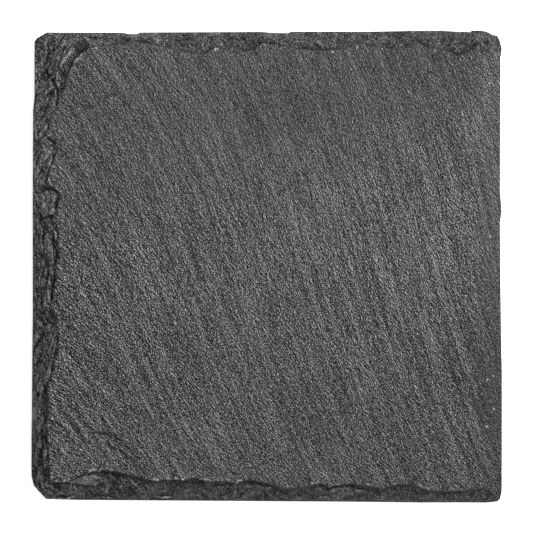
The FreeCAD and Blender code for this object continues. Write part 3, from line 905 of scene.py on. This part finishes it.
class Shader:
    """A material's node tree, with short calls to add to it."""

    def __init__(self, name):
        self.material = bpy.data.materials.new(name)
        self.material.use_nodes = True
        self.tree = self.material.node_tree
        self.surface = self.tree.nodes["Principled BSDF"]

    def add(self, kind, inputs=None, **settings):
        node = self.tree.nodes.new(f"ShaderNode{kind}")
        for key, value in settings.items():
            setattr(node, key, value)
        for key, value in (inputs or {}).items():
            self.put(node.inputs[key], value)
        return node

    def put(self, socket, value):
        if isinstance(value, bpy.types.NodeSocket):
            self.tree.links.new(value, socket)
        else:
            socket.default_value = value

    def math(self, operation, a, b=0.0, c=0.0):
        return self.add("Math", {0: a, 1: b, 2: c}, operation=operation).outputs[0]

    def total(self, *weighted, start=0.0, around=None):
        """A weighted sum. Around a middle, each noise counts from its own middle, 0.5."""
        result = start if around is None else around - 0.5 * sum(weight for _, weight in weighted)
        for value, weight in weighted:
            result = self.math("MULTIPLY_ADD", value, weight, result)
        return result

    def product(self, first, *others):
        for other in others:
            first = self.math("MULTIPLY", first, other)
        return first

    def attribute(self, name):
        node = self.add("Attribute", attribute_name=name, attribute_type="GEOMETRY")
        return node.outputs["Vector"]

    def parts(self, vector):
        return self.add("SeparateXYZ", {0: vector}).outputs

    def stretched(self, vector, scale):
        return self.add("VectorMath", {0: vector, 1: scale}, operation="MULTIPLY").outputs[0]

    def noise(self, vector, scale=1.0, detail=0.0, roughness=0.5):
        inputs = {"Vector": vector, "Scale": scale, "Detail": detail, "Roughness": roughness}
        return self.add("TexNoise", inputs).outputs["Fac"]

    def noise_pair(self, vector, step):
        """A noise, and the same noise a step further across the grain."""
        aside = self.add("VectorMath", {0: vector, 1: (0, step, 0)}, operation="ADD").outputs[0]
        return self.noise(vector), self.noise(aside)

    def spread(self, value, low, high, to_low=0.0, to_high=1.0):
        inputs = {"Value": value, "From Min": low, "From Max": high, "To Min": to_low, "To Max": to_high}
        return self.add("MapRange", inputs).outputs["Result"]

    def ramp(self, value, stops):
        node = self.add("ValToRGB", {"Fac": value})
        ramp = node.color_ramp
        while len(ramp.elements) < len(stops):
            ramp.elements.new(0.5)
        for element, (place, color) in zip(ramp.elements, stops):
            element.position = place
            element.color = (*color, 1)
        return node.outputs["Color"]

    def blend(self, share, a, b):
        return self.add("Mix", {0: share, 6: a, 7: b}, data_type="RGBA").outputs[2]

    def bump(self, height, distance, strength):
        inputs = {"Height": height, "Distance": distance, "Strength": strength}
        return self.add("Bump", inputs).outputs["Normal"]

    def finished(self, inputs):
        """The material, with these inputs of its surface set."""
        for name, value in inputs.items():
            self.put(self.surface.inputs[name], value)
        return self.material


# Tone to colour, from the shadow between grains to the palest grain
SLATE_COLORS = [
    (0.2, (0.001, 0.001, 0.001)), (0.395, (0.0035, 0.0035, 0.0037)), (0.5, (0.0225, 0.0225, 0.0232)),
    (0.625, (0.056, 0.0565, 0.0580)), (0.75, (0.098, 0.099, 0.1015)), (0.875, (0.150, 0.151, 0.155)),
    (1.0, (0.21, 0.212, 0.216)),
]
BRUISE_COLORS = [(0.35, (0.035, 0.035, 0.036)), (0.7, (0.26, 0.26, 0.26))]
# Painted shade down in the open cracks and the gaps between flakes
CRACK_COLOR = (0.003, 0.003, 0.003, 1)
MIDDLE_TONE = 0.5


def slate_material():
    s = Shader("split_slate")
    grain_vector, sweep_vector = s.attribute("grain"), s.attribute("sweep")
    names = ("edges", "marks_and_shade", "wear_and_shade", "plates")
    edges, marks_and_shade, wear_and_shade, plates = (s.parts(s.attribute(name)) for name in names)
    # shift is painted light and shade.
    knapped, worn, shift = edges["Y"], wear_and_shade["X"], wear_and_shade["Y"]

    # Noises that follow the grain, from single grains to long streaks and broad patches
    streak = s.noise(s.stretched(sweep_vector, (0.05, 0.95, 1.0)), detail=2, roughness=0.6)
    fibre, fibre_beside = s.noise_pair(s.stretched(grain_vector, (0.75, 5.0, 3.0)), 1.1)
    blotch = s.noise(s.stretched(grain_vector, (3.0, 3.2, 3.0)))
    grit, grit_beside = s.noise_pair(s.stretched(grain_vector, (3.4, 8.5, 7.0)), 1.8)
    patch = s.noise(s.stretched(grain_vector, (0.05, 0.12, 0.2)), detail=2)
    lump = s.noise(s.stretched(grain_vector, (0.35, 0.35, 0.1)), detail=1)

    # Splinters, on the left only, drawn out along that side
    place = s.add("TexCoord").outputs["Object"]
    drawn_out = {"Vector": place, "Rotation": (0, 0, 0.4), "Scale": (3000, 600, 500)}
    shard = s.noise(s.add("Mapping", drawn_out).outputs[0], detail=1)
    on_left = s.spread(s.parts(place)["X"], -0.040, -0.043)

    # Edges, cracks and specks are sharp, and frayed by the grain.
    fray = s.product(s.math("SUBTRACT", blotch, 0.5), 0.5)
    edge = s.math("ADD", edges["X"], fray)
    band = s.product(s.spread(edge, 0.05, -0.05), knapped)
    # Painted shade: a dark strip of varying width just below the face's edge, where the sheer break shades
    # the band.
    reach = s.spread(lump, 0.38, 0.62, -0.15, -1.3)
    under_edge = s.product(s.spread(edge, reach, -0.05), band)
    crack = s.spread(s.math("ADD", edges["Z"], fray), 0.0, 0.12)
    crest = s.spread(s.math("ADD", marks_and_shade["X"], fray), 0.0, 0.12)
    plate = s.product(s.spread(s.math("MULTIPLY_ADD", fray, 0.3, plates["X"]), -0.04, 0.04), band)
    smooth = s.product(plate, s.spread(plates["Y"], -0.2, -0.8))

    # Painted highlights along the crests of the ripples, except on the left
    ripple = s.math("SINE", s.total((plates["Z"], math.tau / RIPPLE), (lump, 5.0)))
    broken_up = s.spread(s.math("SUBTRACT", streak, shard), -0.04, 0.02)
    off_left, well_below = s.spread(on_left, 1.0, 0.0), s.spread(edges["X"], -0.4, -0.9)
    ripple_highlight = s.product(s.spread(ripple, 0.65, 0.95), broken_up, band, off_left, well_below)

    # Texture, calmer where the stone is worn, broken or smooth. Taking away the noise beside sharpens it
    # into painted highlight and shade on each grain's flanks.
    tone = s.total((grit, 1.85), (grit_beside, -0.65), (fibre, 0.5), (fibre_beside, -0.5), (streak, 0.58),
                   (patch, 0.07), around=0.471)
    calm = s.total((worn, -0.35), (under_edge, -0.35), (band, -0.35), (smooth, -0.35), start=1.0)
    calm = s.math("MAXIMUM", calm, 0.1)
    tone = s.math("MULTIPLY_ADD", s.math("SUBTRACT", tone, MIDDLE_TONE), calm, MIDDLE_TONE)

    splinter = s.math("SUBTRACT", s.spread(shard, 0.58, 0.64), s.spread(shard, 0.42, 0.36))
    # Painted in the tone: shade just below the face's edge and in the hollows, light and shade from
    # shading(), highlights along the ripple crests, and paler ridges, partly bruising and partly highlight.
    tone = s.total((tone, 1.0), (band, -0.03), (under_edge, -0.035), (shift, 0.08), (marks_and_shade["Z"], -0.05),
                   (marks_and_shade["Y"], 0.08), (worn, -0.01), (s.product(splinter, band, on_left, calm), 0.16),
                   (s.product(plate, plates["Y"]), 0.08), (ripple_highlight, 0.17),
                   (s.product(under_edge, on_left), 0.02))
    # Cracks and gaps between flakes are painted near black, as shade down inside them.
    color = s.blend(s.product(crack, 0.8), s.ramp(tone, SLATE_COLORS), CRACK_COLOR)
    color = s.blend(s.product(crest, 0.9), color, s.ramp(fibre, BRUISE_COLORS))
    rise = s.total((fibre, 0.55), (blotch, 0.10), (streak, 0.2), (grit, 0.45))
    return s.finished({
        "Base Color": color,
        "Roughness": s.spread(grit, 0.3, 0.7, 0.62, 0.80),
        "Specular IOR Level": 0.12,
        "Normal": s.bump(rise, 0.00035, calm),
    })


def rubber_material():
    s = Shader("pad_rubber")
    place = s.add("TexCoord").outputs["Object"]
    pores = s.noise(place, scale=2600, detail=3, roughness=0.6)
    cloud = s.noise(place, scale=320, detail=3, roughness=0.6)
    return s.finished({
        "Base Color": s.ramp(cloud, [(0.3, (0.012, 0.012, 0.013)), (0.75, (0.035, 0.034, 0.034))]),
        "Roughness": s.spread(pores, 0.3, 0.7, 0.62, 0.86),
        "Normal": s.bump(pores, 0.00006, 0.8),
    })


def film_material():
    s = Shader("adhesive_film")
    cloud = s.noise(s.add("TexCoord").outputs["Object"], scale=700, detail=3, roughness=0.6)
    return s.finished({
        "Base Color": s.ramp(cloud, [(0.3, (0.50, 0.48, 0.42)), (0.7, (0.66, 0.64, 0.58))]),
        "Roughness": s.spread(cloud, 0.3, 0.7, 0.30, 0.45),
        "Normal": s.bump(cloud, 0.00003, 0.5),
    })


def floor_material():
    return Shader("pale_floor").finished({
        "Base Color": (0.92, 0.92, 0.92, 1), "Roughness": 0.9, "Specular IOR Level": 0.1,
        "Emission Color": (1, 1, 1, 1), "Emission Strength": 0.5,
    })


def dress(piece, material, node):
    piece.data.materials.append(material)
    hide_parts(node)
    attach(piece, "root")


# -------- studio


def floor():
    bpy.ops.mesh.primitive_plane_add(size=6, location=(0, 0, cad_low.z))
    plane = bpy.context.object
    plane.name = "floor"
    plane.data.materials.append(floor_material())


def soft_light():
    """A square soft light that faces the slab from the back right."""
    azimuth, elevation, away = math.radians(28), math.radians(58), 0.62
    data = bpy.data.lights.new("key", "AREA")
    data.shape = "SQUARE"
    data.size = 0.40
    data.energy = 9.0
    light = bpy.data.objects.new("key", data)
    flat = math.cos(elevation)
    towards = Vector((flat * math.cos(azimuth), flat * math.sin(azimuth), math.sin(elevation)))
    light.location = towards * away
    light.rotation_euler = (-light.location).to_track_quat("-Z", "Y").to_euler()
    light.visible_camera = False
    bpy.context.scene.collection.objects.link(light)


def studio():
    floor()
    soft_light()
    world = bpy.data.worlds.new("studio")
    world.use_nodes = True
    background = world.node_tree.nodes["Background"].inputs
    background["Color"].default_value = (1, 1, 1, 1)
    background["Strength"].default_value = 0.8
    bpy.context.scene.world = world
    bpy.context.scene.view_settings.view_transform = "Standard"


def camera():
    """Straight above, from far enough away that the sides don't show."""
    data = bpy.data.cameras.new("camera")
    data.lens = 300
    data.sensor_width = 36
    width_in_view = 0.1130
    outline_height = (UNDERSIDE + 1.5) * MM
    seen = bpy.data.objects.new("camera", data)
    seen.location = (0, 0, outline_height + width_in_view * data.lens / data.sensor_width)
    bpy.context.scene.collection.objects.link(seen)
    bpy.context.scene.camera = seen


camera()
studio()

dress(riven_stone(), slate_material(), STONE)

rubber, film = rubber_material(), film_material()
for place in PLACES:
    middle, low, high, radius = node_disc(f"rubber_pad_{place}")
    pad = lathe(f"worn_pad_{place}", pad_profile(low, high, radius), middle)
    dress(pad, rubber, f"rubber_pad_{place}")
    middle, low, high, radius = node_disc(f"adhesive_disc_{place}")
    sheet = lathe(f"film_{place}", film_profile(low, high, radius), middle, ragged=0.004)
    dress(sheet, film, f"adhesive_disc_{place}")
